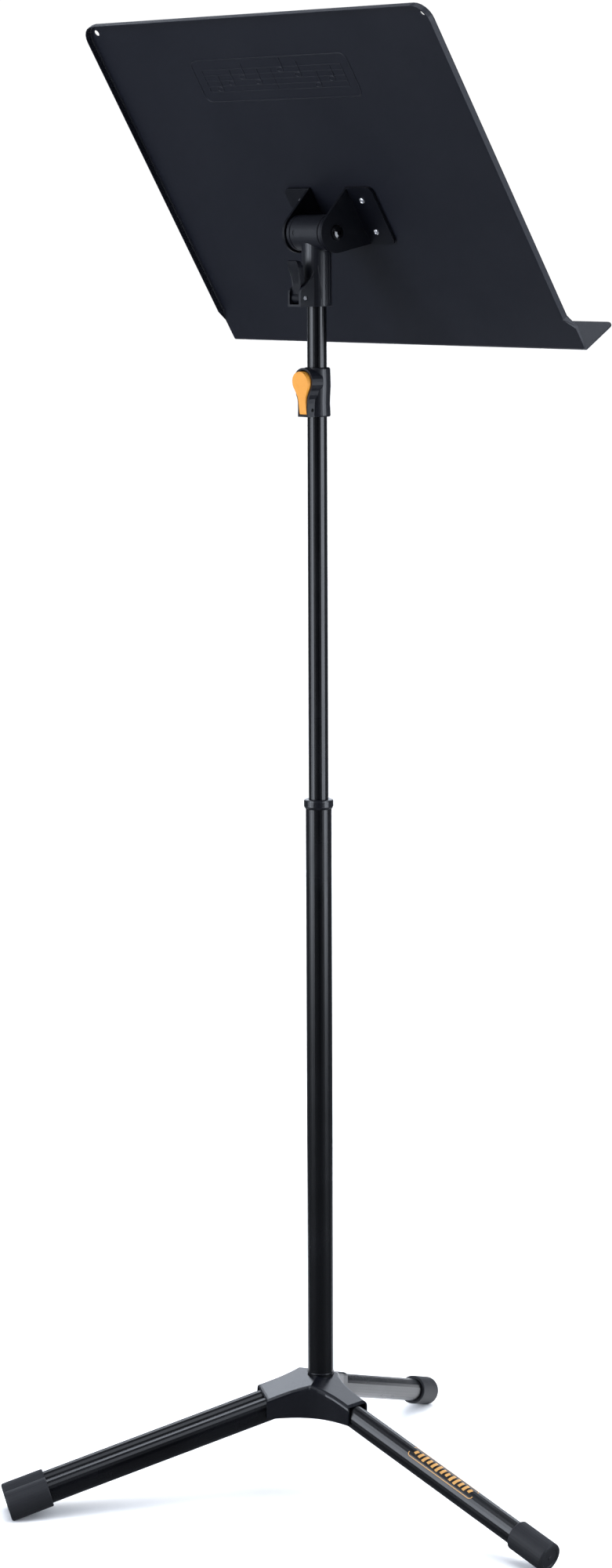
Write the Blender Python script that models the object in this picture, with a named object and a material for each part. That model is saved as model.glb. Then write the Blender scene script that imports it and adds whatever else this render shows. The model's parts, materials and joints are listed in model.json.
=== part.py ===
"""Music stand: sheet-metal desk on a tilting head, telescopic post with a squeeze trigger, bent-tube base."""

import math

import bmesh
import bpy
from mathutils import Matrix, Vector

# ---------------------------------------------------------------- driving dimensions, metres and degrees
FIT_GAP = 0.0003            # between pieces that touch
SLIDE_GAP = 0.0003          # around a piece that slides

# base
LEG_TUBE_R = 0.011
LEG_TUBE_WALL = 0.0015
LEG_DROP = 0.0932           # from the tubes' crossing point down to the middle of a cap's end
MAIN_REACH = 0.3195         # from the crossing point to a cap's end, along the leg
SIDE_REACH = 0.3118
MAIN_LEG_AZIMUTH = math.radians(59.0)
SIDE_LEG_ANGLE = math.radians(125.0)
MAIN_TUBE_GAP = 0.0024      # between the main leg's two tubes
SIDE_TUBE_OFFSET = 0.010
LEG_BEND_R = 0.038
CAP_WALL = 0.0028
CAP_LENGTH = 0.0415
CAP_END_WALL = 0.005
CAP_DISH_R = 0.0088
CAP_DOT_R = 0.0022
CAP_FLAT = 0.0012           # how far the floor wears into a cap
HUB_REACH = 0.058
HUB_WALL = 0.0020
HUB_ROOF_WALL = 0.0015
HUB_CLEARANCE = 0.0005
HUB_SKIRT_DROP = 0.0222     # skirt's edge below the tubes' crossing point
HUB_ROUNDING = 0.0032
POST_FOOT = 0.0094          # post's foot above the crossing point
CLAMP_R = 0.0135
CLAMP_THICKNESS = 0.0025
HUB_BOLT_R = 0.004
HUB_BOLT_HEAD_R = 0.007
HUB_BOLT_HEAD = 0.0035
HUB_BOLT_LENGTH = 0.040

# post
LOWER_TUBE_R = 0.0125
LOWER_TUBE_WALL = 0.0015
LOWER_TUBE_LENGTH = 0.5475
UPPER_TUBE_R = 0.0095
UPPER_TUBE_WALL = 0.0013
UPPER_TUBE_LENGTH = 0.660
EXTENSION = 0.370           # from the collar to the grip's lower edge, as it stands
COLLAR_R = 0.0142
COLLAR_HEIGHT = 0.0091
COLLAR_SPIGOT = 0.026
PLUG_LENGTH = 0.012

# grip and trigger, measured from the grip's lower edge
GRIP_R = 0.0128
GRIP_HEIGHT = 0.0474
POD_DEPTH = 0.0185          # from the post axis to the pod's rim
POD_BULB_R = 0.0136
POD_NECK = 0.0074
POD_RIM = 0.0020
TRIGGER_GAP = 0.0005
TRIGGER_TOP_GAP = 0.0014
TRIGGER_FACE_TOP = 0.0235
TRIGGER_FACE_FOOT = 0.0189
TRIGGER_BACK_TOP = 0.0170
TRIGGER_PIN_OUT = 0.0129
TRIGGER_PIN_UP = 0.0065
TRIGGER_PIN_R = 0.0014
FINGER_HALF = 0.0018
FINGER_TIP = -0.0005

# lock at the upper tube's foot, measured down from that foot
ROD_R = 0.0025
LOCK_FLANGE = 0.0080
LOCK_SPIGOT = 0.015
SHOE_HEIGHT = 0.0135
SHOE_HALF_WIDTH = 0.0058
WEDGE_TOP = 0.0030
WEDGE_FOOT = 0.0058
WEDGE_HALF_WIDTH = 0.0034
CUP_BORE_R = 0.0072
PILLAR_OUT = 0.0092
PILLAR_HALF = 0.0045
CAGE_FLOOR = 0.0030
SPRING_LENGTH = 0.0074
SPRING_WIRE = 0.0005
SPRING_R = 0.0034

# tilting head
HEAD_ABOVE_GRIP = 0.0591    # from the grip's top to the socket's lower edge
SOCKET_R = 0.0146
SOCKET_DEPTH = 0.046
PIVOT_ABOVE_SOCKET = 0.0711
BARREL_R = 0.0176
BARREL_HALF = 0.0198
BUSH_R = 0.0062
PIVOT_BOLT_R = 0.004
DISC_THICKNESS = 0.0050
FORK_REACH = 0.0295
FORK_HALF = 0.0089
FORK_WALL = 0.0022
FORK_FLOOR = 0.0022
LEVER_PIN_OUT = 0.0227
LEVER_PIN_UP = 0.0083
LEVER_PIN_R = 0.0022
PIN_RECESS_R = 0.0030
PIN_RECESS = 0.0007
CAM_R = 0.0056
CAM_THROW = 0.0006
CAM_GAP = 0.0004
LEVER_TOP = 0.0448          # above the socket's lower edge
LEVER_TIP_HALF = 0.0075
SHOE_PAD_HALF = 0.0048

# desk, in a frame with the tilt axis as X and the desk upright
DESK_LEAN = math.radians(32.2)
DESK_WIDTH = 0.500
DESK_HEIGHT = 0.3790
DESK_BELOW_PIVOT = 0.1548
DESK_OFFSET = 0.0365        # from the tilt axis to the desk's back
DESK_SHEET = 0.0012
DESK_FLANGE = 0.0066        # how far the rim stands back from the sheet
DESK_SIDE_STEP = 0.0036
DESK_FLANGE_START = 0.025
DESK_FLANGE_RAMP = 0.014
DESK_RIM_BEND_R = 0.0014    # inside the bend
DESK_BEND_R = 0.0024        # outside the bend
DESK_CORNER_R = 0.018
LIP_DEPTH = 0.0477
LIP_CORNER_R = 0.009
HANG_HOLE_R = 0.0034
HANG_HOLE_IN = 0.0118
HANG_HOLE_DOWN = 0.0110
BRACKET_SHEET = 0.003
SHEET_EDGE_R = 0.0003
BRACKET_R = 0.0197
BRACKET_FLANGE = 0.034
BRACKET_TOP = 0.0297
BRACKET_FOOT = 0.0348
RIVET_IN = 0.0152           # from an ear's outer face
RIVET_UP = 0.0156
RIVET_DOWN = 0.0199
RIVET_HEAD_R = 0.0031
RIVET_SHANK_R = 0.0023
RIVET_BORE_R = 0.0017
BOLT_HEAD_R = 0.0076
BOLT_HEAD = 0.0045
BOLT_HEX = 0.0026
NUT_R = 0.0075
NUT_THICKNESS = 0.0065

# ---------------------------------------------------------------- places worked out from them
CAP_R = LEG_TUBE_R + CAP_WALL
MAIN_TUBE_OFFSET = LEG_TUBE_R + MAIN_TUBE_GAP / 2
MAIN_PITCH = math.asin(LEG_DROP / MAIN_REACH)
SIDE_PITCH = math.asin(LEG_DROP / SIDE_REACH)
CROSSING_Z = LEG_DROP + CAP_R * math.cos(MAIN_PITCH) - CAP_FLAT
TUBE_RISE = LEG_TUBE_R / math.cos(MAIN_PITCH)
LEGS = [
    ("main", MAIN_LEG_AZIMUTH, MAIN_PITCH, MAIN_REACH, (-MAIN_TUBE_OFFSET, MAIN_TUBE_OFFSET)),
    ("left", MAIN_LEG_AZIMUTH + SIDE_LEG_ANGLE, SIDE_PITCH, SIDE_REACH, (-SIDE_TUBE_OFFSET,)),
    ("rear", MAIN_LEG_AZIMUTH - SIDE_LEG_ANGLE, SIDE_PITCH, SIDE_REACH, (SIDE_TUBE_OFFSET,)),
]
HUB_APEX = CROSSING_Z + TUBE_RISE + HUB_CLEARANCE + HUB_ROOF_WALL
HUB_SKIRT_Z = CROSSING_Z - HUB_SKIRT_DROP
POST_Z = CROSSING_Z + POST_FOOT
SADDLE_Z = CROSSING_Z + 0.0061
LOWER_BORE = LOWER_TUBE_R - LOWER_TUBE_WALL
UPPER_BORE = UPPER_TUBE_R - UPPER_TUBE_WALL
GUIDE_R = UPPER_TUBE_R + SLIDE_GAP
LOWER_TOP = POST_Z + LOWER_TUBE_LENGTH
COLLAR_TOP = LOWER_TOP + FIT_GAP + COLLAR_HEIGHT
GRIP_Z = COLLAR_TOP + EXTENSION
GRIP_TOP = GRIP_Z + GRIP_HEIGHT
HEAD_Z = GRIP_TOP + HEAD_ABOVE_GRIP
UPPER_TOP = HEAD_Z + SOCKET_DEPTH - FIT_GAP
UPPER_FOOT = UPPER_TOP - UPPER_TUBE_LENGTH
PIVOT_Z = HEAD_Z + PIVOT_ABOVE_SOCKET
TRIGGER_PIN_Z = GRIP_Z + TRIGGER_PIN_UP
LEVER_PIN_Z = HEAD_Z + LEVER_PIN_UP
EAR_INNER = BARREL_HALF + 2 * FIT_GAP + DISC_THICKNESS
EAR_OUTER = EAR_INNER + BRACKET_SHEET

# ---------------------------------------------------------------- materials
FINISHES = {
    "powder_coat": ((0.018, 0.020, 0.027), 0.0, 0.42),
    "gloss_paint": ((0.010, 0.011, 0.014), 0.0, 0.16),
    "black_plastic": ((0.016, 0.017, 0.021), 0.0, 0.30),
    "satin_plastic": ((0.020, 0.021, 0.026), 0.0, 0.45),
    "cap_rubber": ((0.022, 0.023, 0.027), 0.0, 0.62),
    "trigger_yellow": ((0.90, 0.47, 0.06), 0.0, 0.38),
    "bright_steel": ((0.62, 0.62, 0.64), 1.0, 0.28),
    "black_steel": ((0.012, 0.012, 0.014), 0.6, 0.25),
    "nylon": ((0.70, 0.69, 0.64), 0.0, 0.50),
}


def make_material(name):
    color, metallic, roughness = FINISHES[name]
    material = bpy.data.materials.new(name)
    material.use_nodes = True
    shader = material.node_tree.nodes["Principled BSDF"]
    shader.inputs["Base Color"].default_value = (*color, 1.0)
    shader.inputs["Metallic"].default_value = metallic
    shader.inputs["Roughness"].default_value = roughness
    return material


# ---------------------------------------------------------------- mesh helpers
def add_object(name, bm, finish, parent=None, matrix=None, smooth=True):
    """Writes a bmesh to a named object, with its faces turned out, shaded smooth below 35 degrees."""
    bmesh.ops.recalc_face_normals(bm, faces=bm.faces)
    for face in bm.faces:
        face.smooth = smooth
    for edge in bm.edges:
        if len(edge.link_faces) == 2 and edge.calc_face_angle(0.0) > math.radians(35):
            edge.smooth = False
    mesh = bpy.data.meshes.new(name)
    bm.to_mesh(mesh)
    bm.free()
    mesh.materials.append(MATERIALS[finish])
    part = bpy.data.objects.new(name, mesh)
    bpy.context.scene.collection.objects.link(part)
    part.parent = parent
    if matrix is not None:
        part.matrix_local = matrix
    return part


def add_empty(name, parent, location, rotation=(0.0, 0.0, 0.0)):
    empty = bpy.data.objects.new(name, None)
    empty.empty_display_size = 0.02
    bpy.context.scene.collection.objects.link(empty)
    empty.parent = parent
    empty.location = location
    empty.rotation_euler = rotation
    return empty


def lathe(profile, segments=32, matrix=None):
    """Turns a closed outline of (radius, height) points about Z; a point of radius 0 is a pole."""
    bm = bmesh.new()
    rings = []
    for radius, height in profile:
        if radius == 0.0:
            rings.append([bm.verts.new((0.0, 0.0, height))] * segments)
            continue
        ring = []
        for step in range(segments):
            angle = 2 * math.pi * step / segments
            ring.append(bm.verts.new((radius * math.cos(angle), radius * math.sin(angle), height)))
        rings.append(ring)
    for lower, upper in zip(rings, rings[1:] + rings[:1]):
        if lower[0] is lower[1] and upper[0] is upper[1]:
            continue
        for step in range(segments):
            after = (step + 1) % segments
            corners = [lower[step], lower[after], upper[after], upper[step]]
            unique = [vert for index, vert in enumerate(corners) if vert not in corners[:index]]
            bm.faces.new(unique)
    if matrix is not None:
        bmesh.ops.transform(bm, matrix=matrix, verts=bm.verts)
    return bm


def ring_profile(outer, inner, low, high, chamfer=0.0):
    """Outline of a sleeve, or of a plug when inner is 0."""
    return [
        (inner, low),
        (outer - chamfer, low),
        (outer, low + chamfer),
        (outer, high - chamfer),
        (outer - chamfer, high),
        (inner, high),
    ] if chamfer else [(inner, low), (outer, low), (outer, high), (inner, high)]


def prism(outline, low, high, axes="XY"):
    """Extrudes a flat outline; axes names the outline's two directions, and the third is the depth."""
    place = {
        "XY": lambda a, b, depth: (a, b, depth),
        "YZ": lambda a, b, depth: (depth, a, b),
        "XZ": lambda a, b, depth: (a, depth, b),
    }[axes]
    bm = bmesh.new()
    base = [bm.verts.new(place(a, b, low)) for a, b in outline]
    top = [bm.verts.new(place(a, b, high)) for a, b in outline]
    bm.faces.new(base)
    bm.faces.new(top)
    for index in range(len(outline)):
        after = (index + 1) % len(outline)
        bm.faces.new((base[index], base[after], top[after], top[index]))
    bmesh.ops.recalc_face_normals(bm, faces=bm.faces)
    return bm


def box(low, high):
    outline = [(low[0], low[1]), (high[0], low[1]), (high[0], high[1]), (low[0], high[1])]
    return prism(outline, low[2], high[2])


def arc(centre, radius, start, end, steps):
    """Points of a round stretch, in degrees, both ends included."""
    points = []
    for step in range(steps + 1):
        angle = math.radians(start + (end - start) * step / steps)
        points.append((centre[0] + radius * math.cos(angle), centre[1] + radius * math.sin(angle)))
    return points


def cut(part, bm, operation="DIFFERENCE"):
    """Applies one exact Boolean with a throw-away tool."""
    bmesh.ops.recalc_face_normals(bm, faces=bm.faces)
    mesh = bpy.data.meshes.new("tool")
    bm.to_mesh(mesh)
    bm.free()
    tool = bpy.data.objects.new("tool", mesh)
    bpy.context.scene.collection.objects.link(tool)
    tool.parent = part.parent
    tool.location = part.location
    tool.rotation_euler = part.rotation_euler
    modifier = part.modifiers.new("cut", "BOOLEAN")
    modifier.operation = operation
    modifier.solver = "EXACT"
    modifier.object = tool
    bpy.context.view_layer.update()
    shape = part.evaluated_get(bpy.context.evaluated_depsgraph_get())
    result = bpy.data.meshes.new_from_object(shape)
    clean = bmesh.new()
    clean.from_mesh(result)
    bmesh.ops.remove_doubles(clean, verts=clean.verts, dist=0.000005)
    bmesh.ops.dissolve_degenerate(clean, edges=clean.edges, dist=0.000005)
    clean.to_mesh(result)
    clean.free()
    part.modifiers.clear()
    old = part.data
    part.data = result
    result.name = part.name
    bpy.data.meshes.remove(old)
    bpy.data.objects.remove(tool)
    bpy.data.meshes.remove(mesh)


def bevel(part, width, segments=2, angle=40.0):
    modifier = part.modifiers.new("bevel", "BEVEL")
    modifier.width = width
    modifier.segments = segments
    modifier.limit_method = "ANGLE"
    modifier.angle_limit = math.radians(angle)
    modifier.use_clamp_overlap = True


def along_x(offset=0.0):
    """Turns a lathe's Z axis to X."""
    return Matrix.Translation((offset, 0.0, 0.0)) @ Matrix.Rotation(math.radians(90), 4, "Y")


# ---------------------------------------------------------------- base
def leg_frame(azimuth, pitch):
    """A frame at the crossing point with Z out along a leg, Y level to its left and X below it."""
    level = Matrix.Rotation(azimuth, 4, "Z")
    tip = Matrix.Rotation(math.radians(90) + pitch, 4, "Y")
    return Matrix.Translation((0.0, 0.0, CROSSING_Z)) @ level @ tip


def bent_tube_path(turn):
    """Centre line of one bent tube, from its end in the main leg to its end in a side leg."""
    out = Vector((math.cos(MAIN_LEG_AZIMUTH), math.sin(MAIN_LEG_AZIMUTH)))
    left = Vector((-out.y, out.x))
    side_azimuth = MAIN_LEG_AZIMUTH + turn * SIDE_LEG_ANGLE
    side_out = Vector((math.cos(side_azimuth), math.sin(side_azimuth)))
    side_left = Vector((-side_out.y, side_out.x))
    main_base = turn * MAIN_TUBE_OFFSET * left
    side_base = -turn * SIDE_TUBE_OFFSET * side_left
    gap = side_base - main_base
    spread = out.x * side_out.y - out.y * side_out.x
    corner_run = (gap.x * side_out.y - gap.y * side_out.x) / spread
    side_run = (gap.x * out.y - gap.y * out.x) / spread
    tangent = LEG_BEND_R * math.tan((math.pi - SIDE_LEG_ANGLE) / 2)
    main_slope = math.tan(MAIN_PITCH)
    side_slope = math.tan(SIDE_PITCH)
    start_run = corner_run + tangent
    end_run = side_run + tangent
    start = main_base + start_run * out
    end = side_base + end_run * side_out
    centre = start + turn * LEG_BEND_R * left
    bend = math.pi - SIDE_LEG_ANGLE
    bend_length = LEG_BEND_R * bend
    start_z = CROSSING_Z - main_slope * start_run
    end_z = CROSSING_Z - side_slope * end_run
    main_end = (MAIN_REACH - CAP_END_WALL - FIT_GAP) * math.cos(MAIN_PITCH)
    side_end = (SIDE_REACH - CAP_END_WALL - FIT_GAP) * math.cos(SIDE_PITCH)
    points = [(*(main_base + main_end * out), CROSSING_Z - main_slope * main_end)]
    steps = 8
    for step in range(steps + 1):
        share = step / steps
        swing = Matrix.Rotation(-turn * bend * share, 2)
        spot = centre + swing @ (start - centre)
        rise = bend_length * share * (1 - share) * (main_slope * (1 - share) + side_slope * share)
        blend = share * share * (3 - 2 * share)
        points.append((spot.x, spot.y, start_z + (end_z - start_z) * blend + rise))
    points.append((*(side_base + side_end * side_out), CROSSING_Z - side_slope * side_end))
    miss = (Vector(points[-2][:2]) - end).length
    return [Vector(point) for point in points], miss


def sweep_tube(path, outer, inner, segments=24):
    """A round tube along a path, open at both ends."""
    bm = bmesh.new()
    shells = {outer: [], inner: []}
    for index, point in enumerate(path):
        ahead = (path[min(index + 1, len(path) - 1)] - path[max(index - 1, 0)]).normalized()
        across = ahead.cross(Vector((0.0, 0.0, 1.0))).normalized()
        up = across.cross(ahead)
        for radius, rings in shells.items():
            ring = []
            for step in range(segments):
                angle = 2 * math.pi * step / segments
                ring.append(bm.verts.new(point + radius * (math.cos(angle) * across + math.sin(angle) * up)))
            rings.append(ring)
    outer_rings, inner_rings = shells.values()
    for rings in (outer_rings, inner_rings):
        for near, far in zip(rings, rings[1:]):
            for step in range(segments):
                after = (step + 1) % segments
                bm.faces.new((near[step], near[after], far[after], far[step]))
    for end in (0, -1):
        for step in range(segments):
            after = (step + 1) % segments
            bm.faces.new((outer_rings[end][step], outer_rings[end][after],
                          inner_rings[end][after], inner_rings[end][step]))
    return bm


def cap_shell(reach, offsets):
    """A rubber cap over one tube or over two side by side, in the leg's own frame."""
    start = reach - CAP_LENGTH
    outer = []
    for offset in offsets:
        shift = Matrix.Translation((0.0, offset, 0.0))
        rounding = 0.002
        profile = [(0.0, start), (CAP_R - 0.0006, start), (CAP_R, start + 0.0008)]
        profile += [(CAP_R, reach - rounding), (CAP_R - 0.0006, reach - 0.0006)]
        profile += [(CAP_R - rounding, reach), (CAP_DISH_R + 0.0008, reach), (CAP_DISH_R, reach - 0.0008)]
        profile += [(CAP_DOT_R, reach - 0.0008), (CAP_DOT_R - 0.0004, reach - 0.0002), (0.0, reach - 0.0002)]
        outer.append(lathe(profile, 32, shift))
    return outer


def build_cap(name, azimuth, pitch, reach, offsets):
    first, *others = cap_shell(reach, offsets)
    cap = add_object(name, first, "cap_rubber", STAND, leg_frame(azimuth, pitch))
    for other in others:
        cut(cap, other, "UNION")
    for offset in offsets:
        socket = ring_profile(LEG_TUBE_R + FIT_GAP, 0.0, reach - CAP_LENGTH - 0.01, reach - CAP_END_WALL)
        cut(cap, lathe(socket, 24, Matrix.Translation((0.0, offset, 0.0))))
    floor = box((-0.6, -0.6, -0.1), (0.6, 0.6, 0.0))
    bmesh.ops.transform(floor, matrix=cap.matrix_local.inverted(), verts=floor.verts)
    cut(cap, floor)
    return cap


def hub_outline(main_half, side_half, reach, fillet_steps=7):
    """Plan of the three-armed hub: straight arm sides joined by hollow curves."""
    arms = []
    for leg, azimuth, pitch, leg_reach, offsets in LEGS:
        half = main_half if len(offsets) == 2 else side_half
        shift = sum(offsets) / len(offsets)
        out = Vector((math.cos(azimuth), math.sin(azimuth)))
        left = Vector((-out.y, out.x))
        arms.append((out, left, half, shift))
    points = []
    for index, (out, left, half, shift) in enumerate(arms):
        next_out, next_left, next_half, next_shift = arms[(index + 1) % len(arms)]
        points.append(reach * out + (shift - half) * left)
        points.append(reach * out + (shift + half) * left)
        side = (shift + half) * left
        next_side = (next_shift - next_half) * next_left
        gap = next_side - side
        spread = out.x * next_out.y - out.y * next_out.x
        run = (gap.x * next_out.y - gap.y * next_out.x) / spread
        next_run = (gap.x * out.y - gap.y * out.x) / spread
        tangent = HUB_REACH - 0.010 - max(run, next_run)
        corner = side + run * out
        for step in range(fillet_steps + 1):
            share = step / fillet_steps
            spot = (1 - share) ** 2 * (corner + tangent * out)
            spot += 2 * share * (1 - share) * corner + share ** 2 * (corner + tangent * next_out)
            points.append(spot)
    return [(point.x, point.y) for point in points]


def hub_roof(apex):
    """A three-sided roof, each side sloping down one leg, over a block that reaches below the skirt."""
    drop = math.tan(SIDE_PITCH) * HUB_REACH * 1.3
    bm = bmesh.new()
    top = bm.verts.new((0.0, 0.0, apex))
    upper, lower = [], []
    for (_, azimuth, pitch, *_), (_, after, after_pitch, *_) in zip(LEGS, LEGS[1:] + LEGS[:1]):
        sides = Matrix(((math.cos(azimuth), math.sin(azimuth)), (math.cos(after), math.sin(after))))
        corner = sides.inverted() @ Vector((drop / math.tan(pitch), drop / math.tan(after_pitch)))
        upper.append(bm.verts.new((corner.x, corner.y, apex - drop)))
        lower.append(bm.verts.new((corner.x, corner.y, HUB_SKIRT_Z - 0.02)))
    bm.faces.new(lower)
    for index in range(3):
        after = (index + 1) % 3
        bm.faces.new((upper[index], upper[after], top))
        bm.faces.new((lower[index], lower[after], upper[after], upper[index]))
    return bm


def round_roof_edges(part):
    """Rounds the edges where the walls meet the roof."""
    bm = bmesh.new()
    bm.from_mesh(part.data)
    bm.normal_update()
    rim = []
    for edge in bm.edges:
        if len(edge.link_faces) == 2:
            low, high = sorted(abs(face.normal.z) for face in edge.link_faces)
            lowest = min(vert.co.z for vert in edge.verts)
            if low < 0.2 and high > 0.5 and lowest > HUB_SKIRT_Z + 0.001:
                rim.append(edge)
    bmesh.ops.bevel(bm, geom=rim, offset=HUB_ROUNDING, segments=3, profile=0.5, affect="EDGES", clamp_overlap=True)
    bmesh.ops.remove_doubles(bm, verts=bm.verts, dist=0.00001)
    for face in bm.faces:
        face.smooth = True
    for edge in bm.edges:
        edge.smooth = edge.calc_face_angle(0.0) < math.radians(35)
    bm.to_mesh(part.data)
    bm.free()


def build_base():
    for name, turn in (("base_tube_left", 1), ("base_tube_rear", -1)):
        path, miss = bent_tube_path(turn)
        print(name, "bend closes within", round(miss * 1000, 4), "mm")
        add_object(name, sweep_tube(path, LEG_TUBE_R, LEG_TUBE_R - LEG_TUBE_WALL), "gloss_paint", STAND)
    for leg, azimuth, pitch, reach, offsets in LEGS:
        build_cap("foot_cap_" + leg, azimuth, pitch, reach, offsets)

    inner_main = MAIN_TUBE_OFFSET + LEG_TUBE_R + HUB_CLEARANCE
    inner_side = LEG_TUBE_R + HUB_CLEARANCE
    shell_plan = hub_outline(inner_main + HUB_WALL, inner_side + HUB_WALL, HUB_REACH)
    hub = add_object("hub_shell", prism(shell_plan, HUB_SKIRT_Z, HUB_APEX), "black_plastic", STAND)
    cut(hub, hub_roof(HUB_APEX), "INTERSECT")
    round_roof_edges(hub)
    cavity_plan = hub_outline(inner_main, inner_side, HUB_REACH + 0.01)
    cavity = add_object("cavity", prism(cavity_plan, HUB_SKIRT_Z - 0.01, HUB_APEX), "black_plastic", STAND)
    cut(cavity, hub_roof(HUB_APEX - HUB_ROOF_WALL), "INTERSECT")
    hollow = bmesh.new()
    hollow.from_mesh(cavity.data)
    bpy.data.objects.remove(cavity)
    cut(hub, hollow)
    cut(hub, lathe(ring_profile(LOWER_TUBE_R + FIT_GAP, 0.0, HUB_SKIRT_Z, HUB_APEX + 0.01), 40))

    saddle = ring_profile(LOWER_TUBE_R, HUB_BOLT_R + FIT_GAP, SADDLE_Z, POST_Z - FIT_GAP)
    add_object("hub_saddle", lathe(saddle, 24), "bright_steel", STAND)
    clamp_top = CROSSING_Z - TUBE_RISE - 0.0055
    clamp = ring_profile(CLAMP_R, HUB_BOLT_R + FIT_GAP, clamp_top - CLAMP_THICKNESS, clamp_top, 0.0004)
    add_object("hub_clamp_plate", lathe(clamp, 24), "bright_steel", STAND)
    head_top = clamp_top - CLAMP_THICKNESS - FIT_GAP
    bolt = [(0.0, head_top - HUB_BOLT_HEAD), (HUB_BOLT_HEAD_R, head_top - HUB_BOLT_HEAD), (HUB_BOLT_HEAD_R, head_top)]
    bolt += [(HUB_BOLT_R, head_top), (HUB_BOLT_R, head_top + HUB_BOLT_LENGTH), (0.0, head_top + HUB_BOLT_LENGTH)]
    bolt_end = head_top + HUB_BOLT_LENGTH
    hub_bolt = add_object("hub_bolt", lathe(bolt, 16), "bright_steel", STAND)
    hexagon = arc((0.0, 0.0), 0.0034, 0, 300, 5)
    cut(hub_bolt, prism(hexagon, head_top - HUB_BOLT_HEAD - 0.001, head_top - 0.0013))
    plug_low = POST_Z
    plug_high = max(plug_low + PLUG_LENGTH, bolt_end + 0.002)
    plug = add_object(
        "post_plug", lathe(ring_profile(LOWER_BORE - FIT_GAP, 0.0, plug_low, plug_high), 24), "bright_steel", STAND)
    cut(plug, lathe(ring_profile(HUB_BOLT_R + FIT_GAP, 0.0, plug_low - 0.001, bolt_end + 0.001), 16))


# ---------------------------------------------------------------- post
def build_post():
    add_object(
        "lower_tube", lathe(ring_profile(LOWER_TUBE_R, LOWER_BORE, POST_Z, LOWER_TOP), 40), "gloss_paint", STAND)
    seat = LOWER_TOP + FIT_GAP
    spigot = LOWER_BORE - FIT_GAP
    collar = [
        (GUIDE_R, LOWER_TOP - COLLAR_SPIGOT),
        (spigot, LOWER_TOP - COLLAR_SPIGOT),
        (spigot, seat),
        (LOWER_TUBE_R + 0.0004, seat),
        (COLLAR_R, seat + 0.0022),
        (COLLAR_R, COLLAR_TOP - 0.0018),
        (COLLAR_R - 0.0005, COLLAR_TOP - 0.0006),
        (COLLAR_R - 0.0018, COLLAR_TOP),
        (GUIDE_R, COLLAR_TOP),
    ]
    add_object("post_collar", lathe(collar, 40), "black_plastic", STAND)

    tube = add_object(
        "upper_tube", lathe(ring_profile(UPPER_TUBE_R, UPPER_BORE, UPPER_FOOT, UPPER_TOP), 32), "gloss_paint", SLIDE)
    slot = box((-FINGER_HALF - SLIDE_GAP * 2, 0.0, TRIGGER_PIN_Z - 0.0035),
               (FINGER_HALF + SLIDE_GAP * 2, 0.02, TRIGGER_PIN_Z + 0.0030))
    cut(tube, slot)
    top = UPPER_TOP - 0.012
    add_object("tube_end_plug", lathe(ring_profile(UPPER_BORE - FIT_GAP, 0.0, top, UPPER_TOP, 0.0005), 24),
               "satin_plastic", SLIDE)


def pod_outline(bulb_r, neck, low, bulb_z):
    """Keyhole shape of the grip's pod and of the trigger in it: a round top on a narrow neck."""
    waist = bulb_z - bulb_r * 1.15
    right = arc((0.0, bulb_z), bulb_r, -38, 90, 10)
    blend = [(neck + 0.0006, waist - 0.001), (neck + 0.0024, waist + 0.0030)]
    right = [(neck, low), (neck, waist - 0.005)] + blend + right
    return right + [(-x, z) for x, z in reversed(right[:-1])]


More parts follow.
